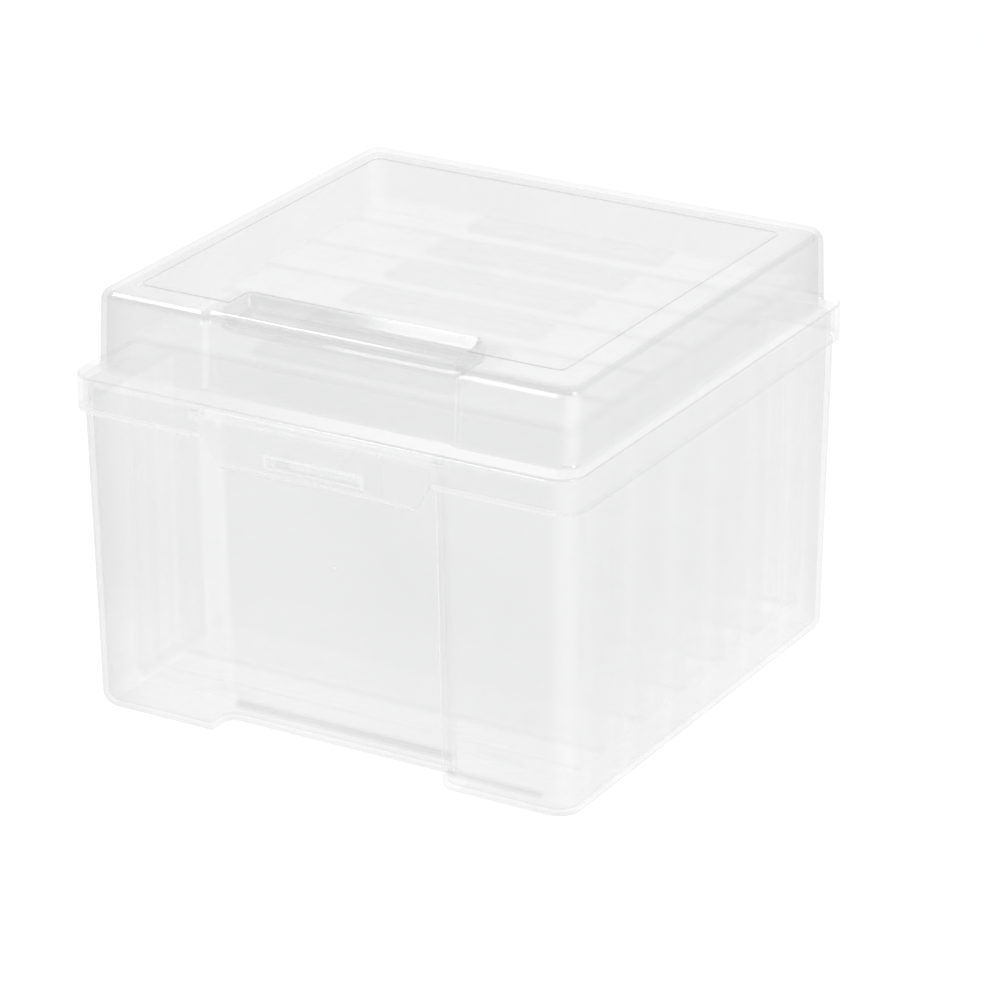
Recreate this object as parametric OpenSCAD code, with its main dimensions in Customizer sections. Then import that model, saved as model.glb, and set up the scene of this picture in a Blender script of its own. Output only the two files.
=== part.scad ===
// Clear photo keeper: a hinged-lid box that holds six upright photo cases.
// Origin: centre of the box's underside. +X right, +Y to the hinge side, +Z up.

/* [Overall] */
// Width across the lid's rim
case_w = 214.4; // [170:1:260]
// Depth from the front of the rim to the back of the hinge
case_d = 219.2; // [214:1:262]
// Height over the closed lid
case_h = 166.6; // [160:1:200]

/* [Base tub] */
// Wall of the tub
base_wall = 2.0; // [1.6:0.1:2.4]
// Floor of the tub
base_floor = 2.4; // [1.8:0.1:4]
// Plan radius of the tub's corners at the top
base_corner_r = 12; // [9:0.5:16]
// Radius round the foot of the tub
base_foot_r = 5; // [3:0.5:6]
// How far each side wall leans out from foot to shoulder
side_draft = 1.5; // [0.5:0.1:3]
// How far the front wall leans out
front_draft = 3.7; // [1:0.1:5]
// How far the back wall leans out
back_draft = 2.6; // [1:0.1:4]
// Height of the neck that stands up inside the lid's skirt
neck_h = 9.6; // [7:0.1:11]
// Wall of the neck
neck_wall = 1.4; // [1.2:0.1:1.8]

/* [Front recess] */
// Half the width of the recess between the two front piers
recess_half_w = 49.2; // [40:0.5:56]
// Depth of the recess at the foot
recess_depth = 12; // [9:0.5:13]
// How much shallower the recess is at the shoulder
recess_fade = 0.9; // [0:0.1:2]
// Radius on the pier edges
pier_edge_r = 2.6; // [1:0.1:4]
// Radius in the recess corners
recess_corner_r = 3.4; // [1:0.1:5]

/* [Lid] */
// Wall of the lid
lid_wall = 2.0; // [1.6:0.1:2.4]
// Height of the skirt that hangs over the tub
skirt_h = 14; // [12:0.5:16]
// Height of the lid above its ledge
dome_h = 30.5; // [24:0.5:36]
// Ledge in front of the dome
ledge_front = 10; // [8:0.5:12]
// Ledge behind the dome
ledge_back = 6.2; // [5:0.1:8]
// Ledge at each side of the dome
ledge_side = 5.1; // [4:0.1:8]
// Plan radius of the rim's corners
rim_corner_r = 11; // [9:0.5:15]
// Plan radius of the dome's corners
dome_corner_r = 8; // [7:0.5:12]
// Radius over the dome's top edge
dome_top_r = 5; // [3:0.5:6]
// How far the dome's front and back walls lean in
dome_draft = 1.7; // [0.5:0.1:3]
// Set-back of the middle of the dome's front wall
front_panel_step = 1.8; // [1:0.1:2.4]
// Clearance between skirt and neck
skirt_gap = 0.6; // [0.5:0.05:0.8]

/* [Lid top] */
// Margin between the dome's edge and the raised stacking panel
panel_margin = 12.6; // [9:0.5:16]
// Extra margin at the back, in front of the hinge
panel_back_extra = 5; // [0:0.5:10]
// Height of the raised stacking panel
panel_h = 0.6; // [0.4:0.1:1]
// Length of the finger scoop along the front edge
scoop_l = 101; // [80:1:120]
// Width of the scoop, front to back
scoop_w = 22; // [18:0.5:26]
// Depth of the scoop
scoop_d = 7.5; // [5:0.5:8]
// Lip left in front of the scoop
scoop_lip = 2.6; // [2.4:0.1:5]

/* [Latch] */
// Clearance between the flap's ends and the sides of the recess
latch_side_gap = 0.4; // [0.3:0.1:1]
// Height of the latch flap below its pivot
latch_drop = 19; // [17:0.5:21]
// Straight part of the flap's ends below the pivot
latch_straight = 7.5; // [5:0.5:9]
// How far the flap's ends lean in below the straight part
latch_taper = 5; // [2:0.5:7]
// Radius of the flap's lower corners
latch_corner_r = 3.5; // [2:0.5:4]
// Thickness of the latch flap
latch_t = 2.0; // [1.6:0.1:2.4]
// Gap between the flap's ends and the skirt's ends
latch_end_gap = 4.2; // [4:0.1:5]
// Length of the window in the latch flap
window_l = 40; // [30:1:60]
// Height of the window in the latch flap
window_h = 4.6; // [3:0.1:5]
// Height of the window's upper edge over the flap's lower edge
window_rise = 8.3; // [7:0.1:9]
// Radius of the latch trunnions
trunnion_r = 1.5; // [1.2:0.1:1.6]

/* [Back hinge] */
// Distance of each hinge from the middle
hinge_x = 60; // [45:1:70]
// Clear width of each hinge pocket
hinge_pocket_w = 18; // [14:1:24]
// Radius of the hinge bar
hinge_bar_r = 1.5; // [1.3:0.1:1.6]
// Outer radius of the knuckles
knuckle_r = 2.9; // [2.7:0.1:2.9]
// Running clearance of every pivot, on the radius
pivot_gap = 0.06; // [0.04:0.01:0.1]

/* [Photo cases] */
// Number of photo cases
photo_cases = 6; // [5:1:8]
// Room between the photo cases and each side wall of the tub
photo_side_gap = 6.5; // [3:0.5:12]
// Room between the photo cases and the underside of the scoop
photo_headroom = 7.1; // [2:0.1:12]
// Room between the last photo case and the lid's back wall
photo_back_gap = 2.6; // [1.5:0.1:6]
// Gap between neighbouring photo cases
photo_gap = 0.4; // [0.3:0.1:1]
// Wall of a photo case
photo_wall = 1.3; // [1:0.1:1.6]
// Plan radius of a photo case's corners
photo_corner_r = 6; // [4:0.5:8]
// Bevel round a photo case's front and back
photo_bevel = 2; // [1:0.1:2.4]
// Share of a case's thickness taken by its cover
cover_share = 0.45; // [0.4:0.01:0.5]
// Half the length of a case's latch strap
strap_half_l = 42; // [30:1:60]
// Width of the latch strap over the joint
strap_w = 15; // [12:0.5:18]
// Height of the latch strap above the case
strap_h = 2.8; // [2.2:0.1:3.2]
// Distance of each case hinge from the middle
photo_hinge_x = 58; // [40:1:70]

/* [Hidden] */

clear_plastic = [0.93, 0.94, 0.94, 0.45];
clear_lid = [0.95, 0.96, 0.96, 0.45];
clear_case = [0.90, 0.91, 0.92, 0.55];

seat_gap = 0.3;
overlap = 0.5;
corner_steps = 8;
edge_steps = 4;
fillet_steps = 5;
round_fn = 48;
hull_fn = 32;

// Heights
rim_top = case_h - panel_h - dome_h;
skirt_bottom = rim_top - skirt_h;
shoulder_z = skirt_bottom - seat_gap;
neck_top = shoulder_z + neck_h;
dome_top = case_h - panel_h;

// Rim outline
rim_half_w = case_w / 2;
rim_front = -case_d / 2;
hinge_proud = 1.6;
rim_back = case_d / 2 - hinge_proud;
rim_proud = 1.7;

// Tub outline at the shoulder and at the foot
tub_half_w = rim_half_w - rim_proud;
tub_front = rim_front + rim_proud;
tub_back = rim_back - rim_proud;
foot_half_w = tub_half_w - side_draft;
foot_front = tub_front + front_draft;
foot_back = tub_back - back_draft;
shoulder_recess = recess_depth - recess_fade;

// Neck outline
neck_inset = lid_wall + skirt_gap - rim_proud;
neck_half_w = tub_half_w - neck_inset;
neck_front = tub_front + neck_inset;
neck_back = tub_back - neck_inset;
neck_corner_r = base_corner_r - neck_inset;
neck_recess = shoulder_recess - neck_inset;

// Dome outline at its foot
dome_half_w = rim_half_w - ledge_side;
dome_front = rim_front + ledge_front;
dome_back = rim_back - ledge_back;
latch_half_l = recess_half_w - latch_side_gap;
panel_half_w = latch_half_l + latch_end_gap;
panel_edge_r = 1.6;
foot_fillet_r = 1.2;
rim_edge_r = 1.2;
scoop_edge_r = 3.4;

// Latch pivot: inside the skirt line, below the ledge
latch_bead_r = 1.1;
latch_ear_t = 3.2;
latch_ear_gap = 0.4;
latch_y = rim_front + 3.0;
latch_barrel_r = 2.6;
latch_z = rim_top - lid_wall - latch_barrel_r - 0.4;
notch_top = rim_top - lid_wall;
latch_bottom = latch_z - latch_drop;
latch_face = latch_y - latch_barrel_r + 0.2;
window_top = latch_bottom + window_rise;
ear_back = latch_y + 2.4;
ear_front = rim_front + 0.6;
ear_bottom = latch_z - 3.6;
ear_outer = latch_half_l + latch_ear_gap + latch_ear_t;
notch_floor = ear_bottom - 0.5;
notch_half_w = ear_outer + 3.6;

// Hinge pivot: behind the tub's wall, below the skirt
hinge_y = case_d / 2 - knuckle_r;
hinge_z = shoulder_z - knuckle_r;
pocket_gap = 0.7;
pocket_back = hinge_y - knuckle_r - pocket_gap;
pocket_bottom = hinge_z - knuckle_r - 3;
pocket_wall = 2.0;
hinge_ear_t = 3.0;
knuckle_side_gap = 0.4;

// Photo cases stand between the recess's inner face and the lid's back wall
row_front = foot_front + recess_depth + base_wall + 1.0;
row_back = dome_back - lid_wall - dome_draft / 2 - photo_back_gap;
photo_pitch = (row_back - row_front + photo_gap) / photo_cases;
photo_t = photo_pitch - photo_gap;
cover_d = photo_t * cover_share;
tray_d = photo_t - cover_d;
photo_knuckle_r = 2.1;
photo_pin_r = 1.1;
photo_foot = base_floor + seat_gap;
photo_bottom = photo_foot + 2 * photo_knuckle_r + seat_gap;
photo_top = dome_top - scoop_d - lid_wall - photo_headroom - strap_h;
photo_h = photo_top - photo_bottom;
photo_w = 2 * (foot_half_w - base_wall - photo_side_gap);
photo_inner_bevel = photo_bevel - photo_wall * (2 - sqrt(2));

// ---- Outlines and skins -------------------------------------------------

// Points of an elliptical arc
function arc(cx, cy, rx, ry, a0, a1, n) =
    [for (i = [0:n]) let (a = a0 + (a1 - a0) * i / n) [cx + rx * cos(a), cy + ry * sin(a)]];

function tail(v) = [for (i = [1:len(v) - 1]) v[i]];
function mirrored(v) = [for (i = [len(v) - 1:-1:0]) [-v[i][0], v[i][1]]];

// One horizontal outline: a rounded rectangle whose front is set back by
// `deep` between -half and +half, counter-clockwise from the front-left corner
function ring(hx, yf, yb, rc, half, deep, r_edge, r_in, z) =
    let (
        k_edge = min(r_edge, deep / 2),
        k_in = min(r_in, deep / 2),
        left = concat(
            arc(-hx + rc, yf + rc, rc, rc, 180, 270, corner_steps),
            arc(-half - r_edge, yf + k_edge, r_edge, k_edge, -90, 0, edge_steps),
            tail(arc(-half + r_in, yf + deep - k_in, r_in, k_in, 180, 90, edge_steps))),
        back = concat(
            arc(hx - rc, yb - rc, rc, rc, 0, 90, corner_steps),
            arc(-hx + rc, yb - rc, rc, rc, 90, 180, corner_steps)))
    [for (p = concat(left, mirrored(left), back)) [p[0], p[1], z]];

// Triangles over one ring. The two back corners see all of the recessed
// front, so the fans start there.
function cap_faces(n) =
    let (front = corner_steps + 2 * edge_steps + 2, right = 2 * front, left = n - 1)
    concat(
        [for (i = [0:front - 1]) [left, i, i + 1]],
        [for (i = [front:right - 2]) [right, i, i + 1]],
        [[left, front, right]],
        [for (i = [right:n - 3]) [left, i, i + 1]]);

// Closed solid through a list of rings, capped at the first and the last
module skin(rings) {
    n = len(rings[0]);
    last = len(rings) - 1;
    points = [for (r = rings) each r];
    sides = [for (k = [0:last - 1]) for (i = [0:n - 1])
        let (j = (i + 1) % n) each [
            [k * n + i, (k + 1) * n + i, (k + 1) * n + j],
            [k * n + i, (k + 1) * n + j, k * n + j]]];
    first_cap = cap_faces(n);
    last_cap = [for (f = cap_faces(n)) [for (k = [2:-1:0]) last * n + f[k]]];
    polyhedron(points, concat(sides, first_cap, last_cap), convexity = 10);
}

// Exact rounded rectangle, centred
module rounded_rect(w, h, r) {
    square([w - 2 * r, h], center = true);
    square([w, h - 2 * r], center = true);
    for (sx = [-1, 1]) for (sy = [-1, 1])
        translate([sx * (w / 2 - r), sy * (h / 2 - r)])
            circle(r, $fn = round_fn);
}

// Cylinder along X, centred on x
module x_rod(r, l, x, y, z) {
    translate([x - l / 2, y, z])
        rotate([0, 90, 0])
            cylinder(r = r, h = l, $fn = round_fn);
}

// Box given by its lowest and highest corners
module span(lo, hi) {
    translate(lo)
        cube(hi - lo);
}

// ---- Base tub -----------------------------------------------------------

// Outer outline of the tub, s = 0 at the foot and 1 at the shoulder, drawn in by d
function tub_ring(s, d, z) = ring(
    foot_half_w + side_draft * s - d,
    foot_front - front_draft * s + d,
    foot_back + back_draft * s - d,
    base_corner_r - 1 + s - d,
    recess_half_w + d,
    recess_depth - recess_fade * s,
    max(pier_edge_r - d, 0.6),
    recess_corner_r + d, z);

function neck_ring(d, z) = ring(
    neck_half_w - d, neck_front + d, neck_back - d, neck_corner_r - d,
    recess_half_w + d, neck_recess,
    max(pier_edge_r - d, 0.6), recess_corner_r + d, z);

// Inner face: from the floor's fillet straight up to the neck's mouth
function tub_outer_rings() = concat(
    [for (i = [0:fillet_steps]) let (a = 90 * i / fillet_steps)
        tub_ring(0, base_foot_r * (1 - sin(a)), base_foot_r * (1 - cos(a)))],
    [tub_ring(1, 0, shoulder_z)]);

function tub_inner_rings() =
    let (r = base_foot_r - base_wall)
    [for (i = [fillet_steps:-1:0]) let (a = 90 * i / fillet_steps)
        tub_ring(0, base_wall + r * (1 - sin(a)), base_floor + r * (1 - cos(a)))];

module tub_shell() {
    skin(concat(
        tub_outer_rings(),
        [neck_ring(0, shoulder_z), neck_ring(0, neck_top), neck_ring(neck_wall, neck_top)],
        tub_inner_rings()));
}

// Wedge on the recess wall that the latch flap closes over
module latch_catch() {
    catch_half_l = window_l / 2 - 2;
    wall_y = tub_front + shoulder_recess + base_wall / 2;
    nose_y = latch_face + latch_t + 2 * seat_gap;
    top = window_top - 0.8;
    translate([-catch_half_l, 0, 0])
        rotate([90, 0, 90])
            linear_extrude(2 * catch_half_l)
                polygon([[wall_y, top - 9], [wall_y, top], [nose_y + 4, top],
                    [nose_y, top - 2.6], [nose_y, top - 4], [nose_y + 2, top - 4.6]]);
}

// Spot left by the moulding gate in the middle of the recess wall
module gate_mark() {
    gate_z = 75.5;
    share = gate_z / shoulder_z;
    wall_y = (foot_front + recess_depth) * (1 - share) + (tub_front + shoulder_recess) * share;
    translate([0, wall_y + base_wall / 2, gate_z])
        rotate([90, 0, 0])
            cylinder(r = 1.2, h = base_wall / 2 + 0.3, $fn = round_fn);
}

// The neck is lower along the recess, below the lid's latch ears
module latch_notch() {
    span([-notch_half_w, tub_front - 1, notch_floor],
        [notch_half_w, row_front, neck_top + 1]);
}

module base_hinge_walls() {
    for (s = [-1, 1])
        span([s * hinge_x - hinge_pocket_w / 2 - pocket_wall, pocket_back - pocket_wall,
            pocket_bottom - pocket_wall],
            [s * hinge_x + hinge_pocket_w / 2 + pocket_wall, foot_back + 1, neck_top]);
}

module base_hinge_pockets() {
    for (s = [-1, 1])
        span([s * hinge_x - hinge_pocket_w / 2, pocket_back, pocket_bottom],
            [s * hinge_x + hinge_pocket_w / 2, rim_back, neck_top + 1]);
}

// Ears at both ends of each pocket, with the bar across it
module base_hinge_bars() {
    for (s = [-1, 1]) {
        for (e = [-1, 1]) {
            x = s * hinge_x + e * (hinge_pocket_w / 2 + hinge_ear_t / 2);
            x_rod(knuckle_r, hinge_ear_t, x, hinge_y, hinge_z);
            span([x - hinge_ear_t / 2, pocket_back, hinge_z - knuckle_r],
                [x + hinge_ear_t / 2, hinge_y, hinge_z + knuckle_r]);
        }
        x_rod(hinge_bar_r, hinge_pocket_w + 2 * overlap, s * hinge_x, hinge_y, hinge_z);
    }
}

module base() {
    color(clear_plastic) {
        difference() {
            union() {
                tub_shell();
                latch_catch();
                gate_mark();
                base_hinge_walls();
            }
            latch_notch();
            base_hinge_pockets();
        }
        base_hinge_bars();
    }
}

// ---- Lid ----------------------------------------------------------------

// Rim outline, drawn in by d
function rim_ring(d, z) = ring(
    rim_half_w - d, rim_front + d, rim_back - d, rim_corner_r - d,
    panel_half_w, 0, panel_edge_r, panel_edge_r, z);

// Dome outline drawn in by d, s = 0 at its foot and 1 at its top
function dome_ring(s, d, z) = ring(
    dome_half_w - d,
    dome_front + dome_draft * s + d,
    dome_back - dome_draft * s - d,
    dome_corner_r - d,
    panel_half_w + d / 2,
    front_panel_step, panel_edge_r, panel_edge_r, z);

// Quarter-round from the wall's top over to the flat, drawn in by d
function dome_top_rings(d, steps) = [for (i = [0:steps])
    let (a = 90 * i / steps, r = dome_top_r - d)
    dome_ring(1, d + r * (1 - cos(a)), dome_top - d - r * (1 - sin(a)))];

function reversed(v) = [for (i = [len(v) - 1:-1:0]) v[i]];

module lid_shell() {
    inner = concat(
        reversed(dome_top_rings(lid_wall, fillet_steps)),
        [dome_ring(0, lid_wall, rim_top - lid_wall),
            rim_ring(lid_wall, rim_top - lid_wall),
            rim_ring(lid_wall, skirt_bottom)]);
    skirt = concat(
        [rim_ring(0, skirt_bottom)],
        [for (i = [0:fillet_steps - 1]) let (a = 90 * i / (fillet_steps - 1))
            rim_ring(rim_edge_r * (1 - cos(a)), rim_top - rim_edge_r * (1 - sin(a)))]);
    foot = [for (i = [0:2]) let (a = 45 * i)
        dome_ring(0, -foot_fillet_r * (1 - sin(a)), rim_top + foot_fillet_r * (1 - cos(a)))];
    skin(concat(inner, skirt, foot, dome_top_rings(0, fillet_steps + 1)));
}

// Raised panel that locates a box stacked on top
module stacking_panel() {
    y0 = dome_front + dome_draft + panel_margin;
    y1 = dome_back - dome_draft - panel_margin - panel_back_extra;
    translate([0, (y0 + y1) / 2, dome_top - lid_wall / 2])
        linear_extrude(lid_wall / 2 + panel_h)
            rounded_rect(2 * (dome_half_w - panel_margin), y1 - y0, 3);
}

// Scoop shape grown by d: drafted walls over a rounded bottom
module scoop_form(d, top) {
    r = scoop_edge_r + d;
    y0 = dome_front + dome_draft + front_panel_step + scoop_lip - d;
    y1 = y0 + scoop_w + 2 * d;
    half = scoop_l / 2 + d;
    low = dome_top - scoop_d - d;
    draft = 1.2;
    hull() {
        for (x = [-half + r + draft, half - r - draft]) for (y = [y0 + r + draft, y1 - r - draft])
            translate([x, y, low + r])
                sphere(r, $fn = hull_fn);
        for (x = [-half + r, half - r]) for (y = [y0 + r, y1 - r])
            translate([x, y, top - 0.1])
                cylinder(r = r, h = 0.1, $fn = hull_fn);
    }
}

// Outside of the scoop's walls, hanging below the lid's top
module scoop_pocket() {
    intersection() {
        scoop_form(lid_wall, dome_top);
        span([-dome_half_w, dome_front, rim_top], [dome_half_w, dome_back, dome_top - lid_wall / 2]);
    }
}

module latch_ears() {
    for (s = [-1, 1]) {
        x0 = s * (ear_outer - latch_ear_t);
        x1 = s * ear_outer;
        span([min(x0, x1), ear_front, ear_bottom],
            [max(x0, x1), ear_back, rim_top - lid_wall / 2]);
    }
}

module lid_knuckles() {
    l = hinge_pocket_w - 2 * knuckle_side_gap;
    for (s = [-1, 1]) {
        x_rod(knuckle_r, l, s * hinge_x, hinge_y, hinge_z);
        span([s * hinge_x - l / 2, hinge_y - 1.9, hinge_z],
            [s * hinge_x + l / 2, rim_back, skirt_bottom + 2]);
    }
}

module lid() {
    color(clear_lid)
        difference() {
            union() {
                lid_shell();
                stacking_panel();
                scoop_pocket();
                latch_ears();
                lid_knuckles();
            }
            scoop_form(0, dome_top + 2);
            span([-panel_half_w, rim_front - 1, skirt_bottom - 1],
                [panel_half_w, ear_front, notch_top]);
            span([-latch_half_l - latch_ear_gap, rim_front - 1, skirt_bottom - 1],
                [latch_half_l + latch_ear_gap, ear_back + 1, notch_top]);
            x_rod(trunnion_r + pivot_gap, 2 * ear_outer + 2, 0, latch_y, latch_z);
            for (s = [-1, 1])
                x_rod(hinge_bar_r + pivot_gap, hinge_pocket_w, s * hinge_x, hinge_y, hinge_z);
        }
}

// ---- Latch flap ---------------------------------------------------------

// Outline of the flap seen from the front, with its lower corners drawn in
module flap_outline() {
    straight_low = latch_z - latch_straight;
    difference() {
        hull() {
            translate([-latch_half_l, straight_low])
                square([2 * latch_half_l, latch_straight]);
            for (s = [-1, 1])
                translate([s * (latch_half_l - latch_taper - latch_corner_r), latch_bottom + latch_corner_r])
                    circle(latch_corner_r, $fn = hull_fn);
        }
        translate([0, window_top - window_h / 2])
            square([window_l, window_h], center = true);
    }
}

module latch() {
    lip_h = 0.6;
    lip_w = 1.2;
    color(clear_lid) {
        translate([0, latch_face + latch_t, 0])
            rotate([90, 0, 0])
                linear_extrude(latch_t)
                    flap_outline();
        x_rod(latch_barrel_r, 2 * latch_half_l, 0, latch_y, latch_z);
        x_rod(trunnion_r, 2 * (ear_outer - 0.4), 0, latch_y, latch_z);
        // Raised lip over the window and down both of its ends
        span([-window_l / 2 - lip_w, latch_face - lip_h, window_top],
            [window_l / 2 + lip_w, latch_face + overlap, window_top + lip_w]);
        for (s = [-1, 1])
            span([s * (window_l + lip_w) / 2 - lip_w / 2, latch_face - lip_h, window_top - window_h],
                [s * (window_l + lip_w) / 2 + lip_w / 2, latch_face + overlap, window_top + overlap]);
        // Finger edge along the bottom
        x_rod(latch_bead_r, 2 * (latch_half_l - latch_taper - latch_corner_r), 0,
            latch_face + latch_bead_r / 2, latch_bottom + latch_bead_r);
    }
}

// ---- Photo cases --------------------------------------------------------

// Parting plane of case i, counted from the front
function parting_y(i) = row_front + (i - 1) * photo_pitch + cover_d;

// Solid of the case's outline drawn in by d, from y0 to y1
module case_block(d, y0, y1) {
    translate([0, y1, photo_bottom + photo_h / 2])
        rotate([90, 0, 0])
            linear_extrude(y1 - y0)
                rounded_rect(photo_w - 2 * d, photo_h - 2 * d, photo_corner_r - d);
}

// Slab over Y from 0 to depth, bevelled on both sides at its far end
module bevelled_slab(half, l, depth, bevel) {
    linear_extrude(l, center = true)
        polygon([[-half, 0], [half, 0], [half, depth - bevel],
            [half - bevel, depth], [-half + bevel, depth], [-half, depth - bevel]]);
}

// Solid of the case's outline drawn in by d, from the parting plane y towards
// the back (way = 1) or the front (way = -1), bevelled all round its far end
module case_half(d, y, depth, bevel, way) {
    r = photo_corner_r - d;
    x = photo_w / 2 - d - r;
    z = photo_h / 2 - d - r;
    translate([0, y, photo_bottom + photo_h / 2])
        scale([1, way, 1]) {
            bevelled_slab(x + r, 2 * z, depth, bevel);
            rotate([0, 90, 0])
                bevelled_slab(z + r, 2 * x, depth, bevel);
            for (sx = [-1, 1]) for (sz = [-1, 1])
                translate([sx * x, 0, sz * z])
                    rotate([-90, 0, 0]) {
                        cylinder(r = r, h = depth - bevel, $fn = round_fn);
                        translate([0, 0, depth - bevel])
                            cylinder(r1 = r, r2 = r - bevel, h = bevel, $fn = round_fn);
                    }
        }
}

module photo_tray(i) {
    y = parting_y(i);
    hinge_axis = photo_foot + photo_knuckle_r;
    color(clear_case) {
        difference() {
            case_half(0, y, tray_d, photo_bevel, 1);
            case_half(photo_wall, y - 1, tray_d - photo_wall + 1, photo_inner_bevel, 1);
        }
        // Bead under the strap's free edge
        x_rod(0.7, 2 * (strap_half_l - 4), 0, y + strap_w / 2 - 2, photo_top);
        for (s = [-1, 1]) for (e = [-1, 1]) {
            x = s * photo_hinge_x + e * 8;
            difference() {
                union() {
                    x_rod(photo_knuckle_r, 4, x, y, hinge_axis);
                    span([x - 2, y + seat_gap, hinge_axis],
                        [x + 2, y + photo_knuckle_r, photo_bottom + photo_wall / 2]);
                }
                span([x - 3, y - photo_knuckle_r - 1, photo_bottom],
                    [x + 3, y, photo_bottom + photo_wall]);
            }
        }
        for (s = [-1, 1])
            x_rod(photo_pin_r, 13, s * photo_hinge_x, y, hinge_axis);
    }
}

module photo_cover(i) {
    y = parting_y(i);
    hinge_axis = photo_foot + photo_knuckle_r;
    lip_t = 0.9;
    lip_gap = 0.15;
    lip_l = 2.4;
    color(clear_case) {
        difference() {
            case_half(0, y, cover_d, photo_bevel, -1);
            case_half(photo_wall, y + 1, cover_d - photo_wall + 1, photo_inner_bevel, -1);
        }
        // Lip that enters the tray, rooted inside the cover's wall
        difference() {
            union() {
                case_block(photo_wall / 2, y - lip_l, y);
                case_block(photo_wall + lip_gap, y - lip_l, y + lip_l);
            }
            case_block(photo_wall + lip_gap + lip_t, y - lip_l - 1, y + lip_l + 1);
        }
        // Latch strap: rooted on the cover, reaching over the tray
        difference() {
            span([-strap_half_l, y - strap_w / 2, photo_top - photo_wall / 2],
                [strap_half_l, y + strap_w / 2, photo_top + strap_h]);
            span([-strap_half_l - 1, y, photo_top - photo_wall],
                [strap_half_l + 1, y + strap_w / 2 + 1, photo_top + 1]);
        }
        for (s = [-1, 1]) {
            x = s * photo_hinge_x;
            difference() {
                union() {
                    x_rod(photo_knuckle_r, 11, x, y, hinge_axis);
                    span([x - 5.5, y - photo_knuckle_r, hinge_axis],
                        [x + 5.5, y - seat_gap, photo_bottom + photo_wall / 2]);
                }
                x_rod(photo_pin_r + pivot_gap, 20, x, y, hinge_axis);
            }
        }
    }
}

base();
lid();
latch();
for (i = [1:photo_cases]) {
    photo_tray(i);
    photo_cover(i);
}
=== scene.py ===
"""Looks of the clear photo keeper case: plastics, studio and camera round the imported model."""
import math

import bpy
from mathutils import Matrix, Vector

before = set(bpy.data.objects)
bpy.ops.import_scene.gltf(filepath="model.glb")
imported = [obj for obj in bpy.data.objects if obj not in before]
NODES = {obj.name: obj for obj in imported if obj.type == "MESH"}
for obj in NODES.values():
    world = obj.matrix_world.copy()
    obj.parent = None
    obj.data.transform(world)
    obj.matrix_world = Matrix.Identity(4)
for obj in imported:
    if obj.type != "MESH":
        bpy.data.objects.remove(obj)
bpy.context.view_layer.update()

# ---- Photograph ----------------------------------------------------------

# The camera fitted to the photograph, with places in metres
PHOTO_PX = 984
FOCAL_PX = 4979.3
CENTRE_SHIFT_PX = (-25.0, -29.0)
SENSOR_MM = 36.0
AZIMUTH = math.radians(30.458)
ELEVATION = math.radians(22.087)
ROLL = math.radians(-0.208)
DISTANCE = 1.8921
TARGET = Vector((0, 0, 0.0833))
CLIP_END = 20


def add_camera():
    data = bpy.data.cameras.new("camera")
    data.sensor_width = SENSOR_MM
    data.lens = SENSOR_MM * FOCAL_PX / PHOTO_PX
    data.shift_x = -CENTRE_SHIFT_PX[0] / PHOTO_PX
    data.shift_y = CENTRE_SHIFT_PX[1] / PHOTO_PX
    data.clip_end = CLIP_END
    back = Vector((math.sin(AZIMUTH) * math.cos(ELEVATION),
                   -math.cos(AZIMUTH) * math.cos(ELEVATION), math.sin(ELEVATION)))
    right = Vector((0, 0, 1)).cross(back).normalized()
    up = back.cross(right)
    rolled_right = right * math.cos(ROLL) + up * math.sin(ROLL)
    rolled_up = up * math.cos(ROLL) - right * math.sin(ROLL)
    camera = bpy.data.objects.new("camera", data)
    camera.matrix_world = Matrix.Translation(TARGET + back * DISTANCE) @ Matrix(
        (rolled_right, rolled_up, back)).transposed().to_4x4()
    bpy.context.scene.collection.objects.link(camera)
    bpy.context.scene.camera = camera


# ---- Node helpers --------------------------------------------------------

# How much less red than green and blue a plastic's grey has
COOL = 0.003


class Shader:
    """A material's node tree with short ways to add and wire nodes."""

    def __init__(self, name):
        self.material = bpy.data.materials.new(name)
        self.material.use_nodes = True
        self.tree = self.material.node_tree
        self.tree.nodes.clear()

    def node(self, kind, settings=None, **inputs):
        n = self.tree.nodes.new("ShaderNode" + kind)
        for key, value in (settings or {}).items():
            setattr(n, key, value)
        for key, value in inputs.items():
            self.put(n.inputs[key.replace("_", " ")], value)
        return n

    def put(self, socket, value):
        """Link another node's output, or set a plain value."""
        if isinstance(value, bpy.types.NodeSocket):
            self.tree.links.new(value, socket)
        else:
            socket.default_value = value

    def math(self, operation, a, b=0.0, clamp=False):
        n = self.node("Math", {"operation": operation, "use_clamp": clamp})
        self.put(n.inputs[0], a)
        self.put(n.inputs[1], b)
        return n.outputs[0]

    def map_range(self, value, low, high, to_low, to_high):
        n = self.node("MapRange", None, Value=value, From_Min=low, From_Max=high,
                      To_Min=to_low, To_Max=to_high)
        return n.outputs["Result"]

    def noise(self, place, scale, detail):
        return self.node("TexNoise", None, Vector=place, Scale=scale, Detail=detail).outputs["Fac"]

    def mix_colour(self, share, a, b):
        n = self.node("Mix", {"data_type": "RGBA"})
        self.put(n.inputs["Factor"], share)
        for socket, colour in zip([i for i in n.inputs if i.type == "RGBA"], (a, b)):
            self.put(socket, colour)
        return next(o for o in n.outputs if o.type == "RGBA")

    def rgb(self, grey):
        return (grey - COOL, grey, grey, 1.0)

    def output(self, surface):
        out = self.node("OutputMaterial")
        self.tree.links.new(surface, out.inputs["Surface"])
        return self.material


# ---- Plastics ------------------------------------------------------------

# Clouds in the haze
CLOUD_SCALE = 14.0
CLOUD_DETAIL = 1.0
CLOUD_DEPTH = 0.5
# Ripples of the surface
RIPPLE_SCALE = 40.0
RIPPLE_DETAIL = 0.0
# How steeply the haze grows as a wall turns edge-on
EDGE_POWER = 5.0
# Share of the haze that a shadow ray meets
SHADOW_SHARE = 0.4
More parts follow.
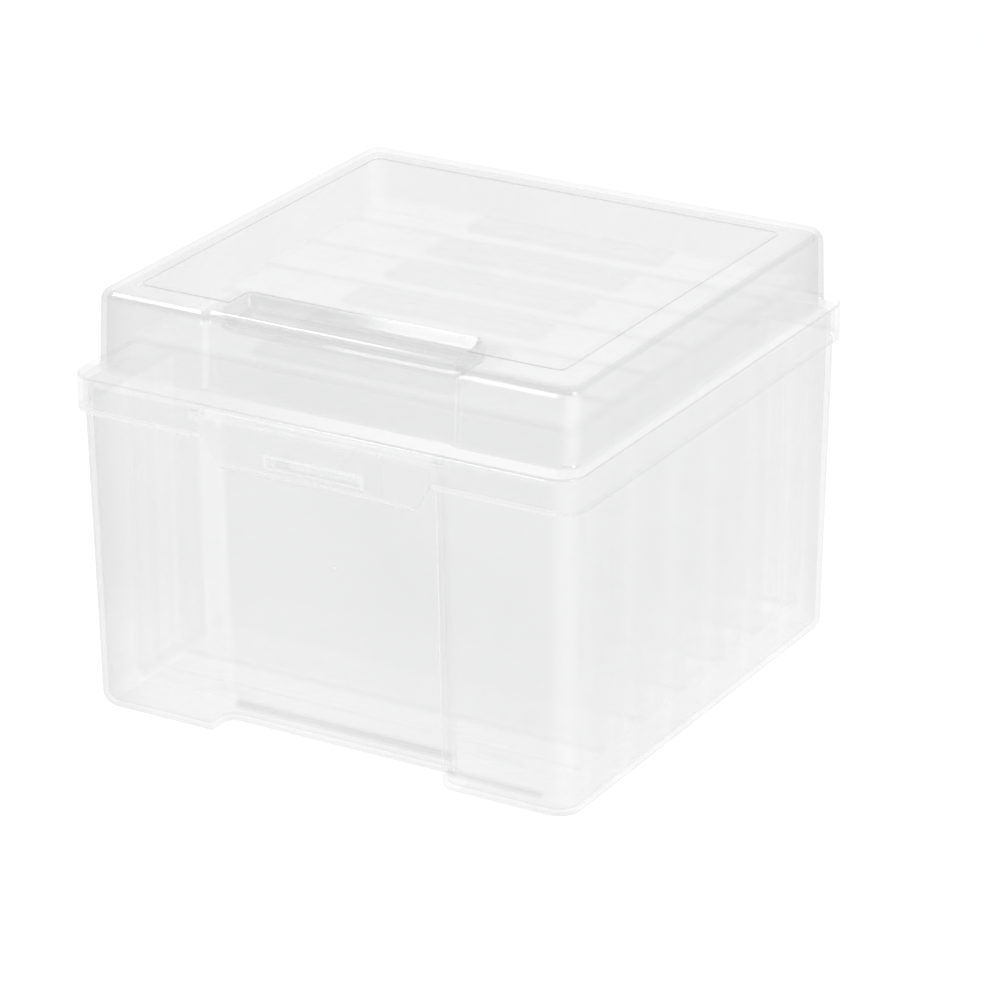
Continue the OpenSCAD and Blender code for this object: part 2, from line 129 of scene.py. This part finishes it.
# Width of the soft edge of a box, in metres
SOFT_STEP = 0.0005
# Step from one photo case to the next, in metres
CASE_PITCH = 0.03099

# The part of the normal at which a look starts, and at which it is full
CURVED = (0.995, 0.85)
TURNED = (0.15, 0.45)
CORNER = (0.3, 0.1)
UPRIGHT = (0.4, 0.2)
LEVEL = (0.9, 0.99)
FACING_FRONT = (-0.5, -0.9)
FACING_RIGHT = (0.5, 0.9)
FACING_SIDEWAYS = (0.5, 0.8)
FACING_FRONT_OR_RIGHT = (0.3, 0.7)


class Plastic(Shader):
    """Clear moulded plastic: a tone for what it scatters and a haze for how much of it shows.

    A share is 1 where a look is full and 0 where there is none of it.
    """

    def __init__(self, name, tone, haze, roughness):
        super().__init__(name)
        coordinates = self.node("TexCoord")
        self.place = coordinates.outputs["Object"]
        self.x, self.y, self.z = self.node("SeparateXYZ", None, Vector=self.place).outputs
        self.normal = self.node("SeparateXYZ", None, Vector=coordinates.outputs["Normal"]).outputs
        self.slopes = [self.math("ABSOLUTE", axis) for axis in self.normal]
        sideways = self.math("MAXIMUM", self.slopes[0], self.slopes[1])
        self.curved = self.ramp(self.math("MAXIMUM", sideways, self.slopes[2]), *CURVED)
        cloud = self.noise(self.place, CLOUD_SCALE, CLOUD_DETAIL)
        self.tone = self.rgb(tone)
        self.haze = self.map_range(cloud, 0.0, 1.0, (1 - CLOUD_DEPTH) * haze,
                                   (1 + CLOUD_DEPTH) * haze)
        self.clearing = 1.0
        self.roughness = roughness

    def add(self, share, tone, haze):
        """Give the share of the surface another tone and more haze."""
        self.tone = self.mix_colour(share, self.tone, self.rgb(tone))
        self.haze = self.math("ADD", self.haze, self.math("MULTIPLY", share, haze))

    def clear(self, share, left):
        """Let only a part of the plastic show on the share of the surface."""
        self.clearing = self.both(self.clearing, self.map_range(share, 0.0, 1.0, 1.0, left))

    def dull(self, share, roughness):
        """Make the share of the surface rougher, so that it mirrors the lamps less sharply."""
        self.roughness = self.map_range(share, 0.0, 1.0, self.roughness, roughness)

    def both(self, a, b):
        return self.math("MULTIPLY", a, b)

    def ramp(self, value, start, end):
        """0 up to start and 1 from end on."""
        return self.map_range(value, start, end, 0.0, 1.0)

    def turns(self, way):
        """Fillets and bevels that face up (way = 1) or down (way = -1)."""
        return self.both(self.curved, self.ramp(self.normal[2], TURNED[0] * way, TURNED[1] * way))

    def corners(self):
        """Curved upright corners."""
        return self.both(self.curved, self.ramp(self.slopes[2], *CORNER))

    def upright(self):
        return self.ramp(self.slopes[2], *UPRIGHT)

    def level(self):
        return self.ramp(self.slopes[2], *LEVEL)

    def inside(self, low, high):
        """1 inside a box given by its lowest and highest corners."""
        share = 1.0
        for axis, lo, hi in zip((self.x, self.y, self.z), low, high):
            away = self.math("ABSOLUTE", self.math("SUBTRACT", axis, (lo + hi) / 2))
            share = self.both(share, self.ramp(away, (hi - lo) / 2, (hi - lo) / 2 - SOFT_STEP))
        return share

    def bands_at_case_steps(self, start, half):
        """Soft bands across y, one at start and one at each step of a photo case from there."""
        first = start - CASE_PITCH / 2
        turn = self.math("DIVIDE", self.math("SUBTRACT", self.y, first), CASE_PITCH)
        away = self.math("ABSOLUTE", self.math("SUBTRACT", self.math("FRACT", turn), 0.5))
        return self.ramp(away, half / CASE_PITCH, 0.0)

    def diagonal(self, reach, full):
        """Near the front left and back right corners, where x times y is large."""
        return self.ramp(self.both(self.x, self.y), reach, full)

    def finish(self, edge, ior, ripple_height=0.0):
        """Build the material, with edge for the haze added where a wall turns edge-on."""
        facing = self.node("LayerWeight", None, Blend=0.5).outputs["Facing"]
        turned = self.math("MULTIPLY", self.math("POWER", facing, EDGE_POWER), edge)
        alpha = self.both(self.math("ADD", self.haze, turned, clamp=True), self.clearing)
        shadow_ray = self.node("LightPath").outputs["Is Shadow Ray"]
        in_shadow = self.map_range(shadow_ray, 0.0, 1.0, 1.0, SHADOW_SHARE)
        plastic = self.node("BsdfPrincipled")
        self.put(plastic.inputs["Base Color"], self.tone)
        self.put(plastic.inputs["Alpha"], self.math("MULTIPLY", alpha, in_shadow))
        self.put(plastic.inputs["Roughness"], self.roughness)
        plastic.inputs["IOR"].default_value = ior
        if ripple_height:
            ripple = self.noise(self.place, RIPPLE_SCALE, RIPPLE_DETAIL)
            bump = self.node("Bump", None, Strength=1.0, Distance=ripple_height, Height=ripple)
            self.put(plastic.inputs["Normal"], bump.outputs["Normal"])
        return self.output(plastic.outputs["BSDF"])


# ---- Tub -----------------------------------------------------------------

# Places on the model are in metres. A box is its lowest and highest corners, and a pair of
# numbers is where a look starts and where it is full.
TUB_FADE_Z = (0.07, 0.0)
TUB_DIAGONAL = (0.0080, 0.0105)
TUB_RIGHT_X = (0.094, 0.099)
# Where the painted light stripes on the tub's right wall start, and their half width
WALL_LIGHT_STRIPE = -0.0915
WALL_LIGHT_STRIPE_HALF = 0.006
RECESS_LEFT = ((-0.054, -0.112, -0.001), (-0.046, -0.096, 0.122))
RECESS_RIGHT = ((0.046, -0.112, 0.006), (0.054, -0.096, 0.122))
RECESS_CORNER = ((0.0475, -0.1090, 0.002), (0.0540, -0.1010, 0.120))
FLOOR_LINE_RECESS = ((-0.047, -0.100, 0.0070), (0.049, -0.085, 0.0110))
FLOOR_LINE_PIER = ((0.0515, -0.112, 0.0075), (0.092, -0.100, 0.0105))
GATE_MARK = ((-0.0009, -0.0970, 0.0746), (0.0009, -0.0942, 0.0764))
CATCH = ((-0.0190, -0.1060, 0.108), (0.0190, -0.0960, 0.1200))


def tub_plastic():
    p = Plastic("tub_clear", tone=0.77, haze=0.18, roughness=0.15)
    p.add(p.ramp(p.z, *TUB_FADE_Z), 0.90, 0.0)
    # Painted reflection: a lighter tone on the curved upright corners for the white floor they
    # mirror
    p.add(p.corners(), 0.95, 0.02)
    # Painted shade: a darker tone near the front left and back right corners, where the walls turn
    # edge-on
    p.add(p.diagonal(*TUB_DIAGONAL), 0.70, 0.06)
    # Painted shade: a darker tone on fillets and bevels that face down
    p.add(p.turns(-1), 0.66, 0.04)
    across = p.ramp(p.slopes[0], *FACING_SIDEWAYS)
    # Painted light: a lighter tone on the side walls at the recess's left
    p.add(p.both(p.inside(*RECESS_LEFT), across), 0.90, 0.0)
    # Painted highlight: a white, hazier band on the curved corner at the recess's right
    p.add(p.both(p.inside(*RECESS_CORNER), p.corners()), 1.0, 0.35)
    front = p.ramp(p.normal[1], *FACING_FRONT)
    # Painted shade: dark lines where the tub's floor meets its front wall, in the recess and the
    # right pier
    p.add(p.both(p.inside(*FLOOR_LINE_RECESS), front), 0.60, 0.09)
    p.add(p.both(p.inside(*FLOOR_LINE_PIER), front), 0.60, 0.06)
    p.add(p.inside(*GATE_MARK), 1.0, 0.35)
    # Painted light: clearer bands on the right wall where the inner cases' lit corners show through
    p.clear(p.both(p.bands_at_case_steps(WALL_LIGHT_STRIPE, WALL_LIGHT_STRIPE_HALF), p.ramp(p.x, *TUB_RIGHT_X)), 0.5)
    p.clear(p.both(p.inside(*RECESS_RIGHT), across), 0.1)
    p.dull(p.inside(*CATCH), 0.7)
    return p.finish(edge=0.75, ior=1.7, ripple_height=0.0002)


# ---- Lid -----------------------------------------------------------------

RIM_TOP = 0.1355
ABOVE_RIM_Z = (RIM_TOP, RIM_TOP + 0.0010)
BELOW_RIM_Z = (RIM_TOP + 0.0010, RIM_TOP - 0.0003)
DOME_DIAGONAL = (0.0080, 0.0100)
OFF_LEDGE = (0.0010, 0.0005)
LEDGE_FRONT_Y = (-0.094, -0.098)
LEDGE_LEFT_X = (0.0, -0.05)
LEDGE_REFLECTION_X = (-0.03, 0.05)
LEDGE_RIGHT_X = (0.096, 0.099)
SKIRT_FOOT = 0.1215
SKIRT_LINE_Z = (SKIRT_FOOT + 0.0018, SKIRT_FOOT + 0.0012)
SKIRT_FOOT_Z = (SKIRT_FOOT + 0.0007, SKIRT_FOOT + 0.0003)
BEHIND_FRONT_Y = (-0.108, -0.106)
SCOOP = ((-0.058, -0.0900, 0.156), (0.058, -0.0690, 0.1659))
SCOOP_WALL_FOOT = 0.1615
SCOOP_WALL_FULL = SCOOP_WALL_FOOT + 0.0003
PANEL_FOOT = 0.1660
PANEL_RISER_Z = (PANEL_FOOT + 0.00003, PANEL_FOOT + 0.00008)
PANEL_RIGHT = ((0.0865, -0.0845, 0.1655), (0.0899, 0.0830, 0.1668))
PANEL_FRONT_LEFT = ((-0.0899, -0.0857, 0.1655), (-0.0510, -0.0825, 0.1668))
BEHIND_PANEL = ((-0.0905, 0.0820, 0.1655), (0.0900, 0.0843, 0.1665))
LEFT_OF_PANEL = ((-0.0908, -0.0860, 0.1655), (-0.0890, 0.0843, 0.1665))


def add_walls_and_ledge(p):
    """The dome's and the skirt's walls, the ledge between them and the skirt's foot, with painted
    shade and light.
    """
    # Painted shade: front and right walls get darker tones than the top
    front = p.both(p.upright(), p.ramp(p.normal[1], *FACING_FRONT))
    above_rim = p.ramp(p.z, *ABOVE_RIM_Z)
    p.add(p.both(above_rim, front), 0.70, 0.06)
    p.add(front, 0.70, 0.01)
    right = p.both(p.upright(), p.ramp(p.normal[0], *FACING_RIGHT))
    p.add(p.both(above_rim, right), 0.65, 0.04)
    p.add(p.ramp(p.z, *BELOW_RIM_Z), 0.85, 0.04)
    level = p.level()
    off_rim = p.math("ABSOLUTE", p.math("SUBTRACT", p.z, RIM_TOP))
    ledge = p.both(level, p.ramp(off_rim, *OFF_LEDGE))
    front_ledge = p.both(ledge, p.ramp(p.y, *LEDGE_FRONT_Y))
    # Painted shade on the front ledge's left part, and a painted reflection, white and hazier, on
    # its right part
    p.add(p.both(front_ledge, p.ramp(p.x, *LEDGE_LEFT_X)), 0.70, 0.06)
    p.add(p.both(front_ledge, p.ramp(p.x, *LEDGE_REFLECTION_X)), 1.0, 0.10)
    p.clear(p.both(ledge, p.ramp(p.x, *LEDGE_RIGHT_X)), 0.25)
    # Painted highlight: a white line at the foot of the skirt's front walls
    p.add(p.both(front, p.ramp(p.z, *SKIRT_LINE_Z)), 1.0, 0.20)
    # Painted shade: a dark line along the skirt's foot, except at the front
    foot = p.ramp(p.z, *SKIRT_FOOT_Z)
    p.add(p.both(foot, p.ramp(p.y, *BEHIND_FRONT_Y)), 0.65, 0.08)
    # Painted reflection: a lighter tone on the curved upright corners for the white floor they
    # mirror
    p.add(p.corners(), 0.90, 0.02)
    # Painted shade: a darker tone near the dome's front left and back right corners
    p.add(p.both(above_rim, p.diagonal(*DOME_DIAGONAL)), 0.60, 0.10)


def add_scoop_and_panel(p):
    """The finger scoop and the edge of the raised panel, with painted shade, clearer at the back
    and left.
    """
    scoop = p.inside(*SCOOP)
    # Painted shade: a darker tone in the finger scoop, darkest on its back wall
    p.add(scoop, 0.60, 0.02)
    p.add(p.both(scoop, p.ramp(p.z, SCOOP_WALL_FOOT, SCOOP_WALL_FULL)), 0.60, 0.09)
    # Painted shade: a dark band along the raised panel's right and front left edges
    p.add(p.both(p.level(), p.inside(*PANEL_RIGHT)), 0.60, 0.14)
    p.add(p.both(p.level(), p.inside(*PANEL_FRONT_LEFT)), 0.60, 0.14)
    p.dull(p.both(scoop, p.ramp(p.z, SCOOP_WALL_FULL, SCOOP_WALL_FOOT)), 0.7)
    right_less_back = p.math("SUBTRACT", p.normal[0], p.normal[1])
    toward_front_or_right = p.ramp(right_less_back, *FACING_FRONT_OR_RIGHT)
    # Painted shade: a darker tone on fillets and bevels that face up, most on those toward the
    # front and right; their added haze strengthens the lamps' reflections there
    p.add(p.turns(1), 0.60, 0.12)
    p.add(p.both(p.turns(1), toward_front_or_right), 0.60, 0.12)
    riser = p.both(p.ramp(p.z, *PANEL_RISER_Z), p.upright())
    p.clear(riser, 0.1)
    p.clear(p.inside(*BEHIND_PANEL), 0.1)
    p.clear(p.inside(*LEFT_OF_PANEL), 0.1)
    p.clearing = p.math("MAXIMUM", p.clearing, toward_front_or_right)
    # Painted shade: a dark line on the panel's riser toward the front and right
    p.add(p.both(riser, toward_front_or_right), 0.50, 0.25)


def lid_plastic():
    p = Plastic("lid_clear", tone=0.75, haze=0.165, roughness=0.08)
    add_walls_and_ledge(p)
    add_scoop_and_panel(p)
    return p.finish(edge=0.75, ior=2.0, ripple_height=0.00005)


# ---- Latch and photo cases -----------------------------------------------

# The lip round the flap's window, painted white as a highlight
FLAP_LIP_HIGHLIGHT = ((-0.0215, -0.1100, 0.1150), (0.0215, -0.10905, 0.1211))
CASE_TOP = 0.1466
CASE_TOP_Z = (CASE_TOP, CASE_TOP + 0.0005)
CASE_RIGHT_X = (0.085, 0.092)
CASE_SEAM = -0.074
CASE_SEAM_HALF = 0.005


def latch_plastic():
    p = Plastic("latch_clear", tone=0.90, haze=0.26, roughness=0.12)
    # Painted shade: a darker tone on fillets and bevels that face down
    p.add(p.turns(-1), 0.70, 0.10)
    # Painted highlight: a white, hazier band on the lip round the flap's window
    p.add(p.inside(*FLAP_LIP_HIGHLIGHT), 1.0, 0.35)
    return p.finish(edge=0.75, ior=1.7)


def case_plastic():
    p = Plastic("case_clear", tone=0.98, haze=0.17, roughness=0.15)
    p.clear(p.corners(), 0.3)
    # Clearer bands at the cases' parting lines, wider than the real seams, paint light stripes at
    # the cases' right corners
    p.clear(p.both(p.bands_at_case_steps(CASE_SEAM, CASE_SEAM_HALF), p.ramp(p.x, *CASE_RIGHT_X)), 0.3)
    # Painted shade: a darker tone on the cases' fillets and bevels that face up
    p.add(p.turns(1), 0.80, 0.12)
    p.add(p.ramp(p.z, *CASE_TOP_Z), 0.75, 0.10)
    return p.finish(edge=0.40, ior=1.9)


def dress(node, material):
    mesh = NODES[node].data
    mesh.materials.clear()
    mesh.materials.append(material)


def dress_all():
    clear = {"base": tub_plastic(), "lid": lid_plastic(), "latch": latch_plastic()}
    case = case_plastic()
    for node in NODES:
        dress(node, clear.get(node, case))


def hide_from_bounced_light():
    """Only the tub casts a shadow, and no piece shows in scattered or mirrored light."""
    for name, part in NODES.items():
        part.visible_shadow = name == "base"
        part.visible_diffuse = False
        part.visible_glossy = False


# ---- Studio --------------------------------------------------------------

WORLD_LIGHT = 0.67
LAMP_AIM = Vector((0, 0, 0.08))
FLOOR_HALF = 6.0
FLOOR_TONE = 0.85
FLOOR_SHADOW = 0.40
FLOOR_WHITE = 0.66


def add_world():
    """White to the camera, mirrors and glass, and dimmer to other light."""
    world = bpy.data.worlds.new("studio")
    bpy.context.scene.world = world
    world.use_nodes = True
    tree = world.node_tree
    tree.nodes.clear()
    path = tree.nodes.new("ShaderNodeLightPath")
    seen = tree.nodes.new("ShaderNodeMath")
    seen.operation = "MAXIMUM"
    tree.links.new(path.outputs["Is Camera Ray"], seen.inputs[0])
    mirrored = tree.nodes.new("ShaderNodeMath")
    mirrored.operation = "MAXIMUM"
    tree.links.new(path.outputs["Is Glossy Ray"], mirrored.inputs[0])
    tree.links.new(path.outputs["Is Transmission Ray"], mirrored.inputs[1])
    tree.links.new(mirrored.outputs[0], seen.inputs[1])
    strength = tree.nodes.new("ShaderNodeMapRange")
    strength.inputs["To Min"].default_value = WORLD_LIGHT
    strength.inputs["To Max"].default_value = 1.0
    tree.links.new(seen.outputs[0], strength.inputs["Value"])
    background = tree.nodes.new("ShaderNodeBackground")
    background.inputs["Color"].default_value = (1, 1, 1, 1)
    tree.links.new(strength.outputs["Result"], background.inputs["Strength"])
    out = tree.nodes.new("ShaderNodeOutputWorld")
    tree.links.new(background.outputs[0], out.inputs["Surface"])


def add_softbox(name, place, size, power, mirrored=True):
    data = bpy.data.lights.new(name, "AREA")
    data.shape = "RECTANGLE"
    data.size, data.size_y = size
    data.energy = power
    lamp = bpy.data.objects.new(name, data)
    lamp.location = place
    lamp.rotation_euler = (LAMP_AIM - Vector(place)).to_track_quat("-Z", "Y").to_euler()
    lamp.visible_camera = False
    lamp.visible_glossy = mirrored
    bpy.context.scene.collection.objects.link(lamp)


def floor_white():
    """White that takes a shadow to the camera, mirrors and glass, and pale paper to other light."""
    s = Shader("floor_white")
    path = s.node("LightPath")
    mirrored = s.math("MAXIMUM", path.outputs["Is Glossy Ray"], path.outputs["Is Transmission Ray"])
    seen = s.math("MAXIMUM", path.outputs["Is Camera Ray"], mirrored)
    paper = s.node("BsdfDiffuse")
    paper.inputs["Color"].default_value = (FLOOR_TONE,) * 3 + (1,)
    shadow = s.node("BsdfDiffuse")
    shadow.inputs["Color"].default_value = (FLOOR_SHADOW,) * 3 + (1,)
    white = s.node("Emission")
    white.inputs["Strength"].default_value = FLOOR_WHITE
    bright = s.node("AddShader")
    s.put(bright.inputs[0], shadow.outputs[0])
    s.put(bright.inputs[1], white.outputs[0])
    mix = s.node("MixShader")
    s.put(mix.inputs[0], seen)
    s.put(mix.inputs[1], paper.outputs[0])
    s.put(mix.inputs[2], bright.outputs[0])
    return s.output(mix.outputs[0])


def add_floor():
    mesh = bpy.data.meshes.new("floor")
    corners = [(-FLOOR_HALF, -FLOOR_HALF, 0), (FLOOR_HALF, -FLOOR_HALF, 0),
               (FLOOR_HALF, FLOOR_HALF, 0), (-FLOOR_HALF, FLOOR_HALF, 0)]
    mesh.from_pydata(corners, [], [(0, 1, 2, 3)])
    floor = bpy.data.objects.new("floor", mesh)
    bpy.context.scene.collection.objects.link(floor)
    mesh.materials.append(floor_white())


def add_studio():
    add_world()
    add_floor()
    # Mirrored, it would turn the flat lid white when seen from above
    add_softbox("overhead", (0.2, 0.2, 2.1), size=(0.8, 0.8), power=11, mirrored=False)
    add_softbox("high_left", (-1.10, -0.36, 1.87), size=(0.26, 0.3), power=2.2)
    add_softbox("low_front", (-0.32, -0.90, 0.08), size=(0.26, 0.16), power=0.78)
    add_softbox("side", (1.9, -0.6, 1.0), size=(0.6, 1.2), power=8)
    scene = bpy.context.scene
    scene.view_settings.view_transform = "Standard"
    scene.cycles.transparent_max_bounces = 64
    scene.cycles.max_bounces = 3
    scene.cycles.diffuse_bounces = 1
    scene.cycles.glossy_bounces = 1


# ---- Whole scene ---------------------------------------------------------

add_camera()
dress_all()
hide_from_bounced_light()
add_studio()
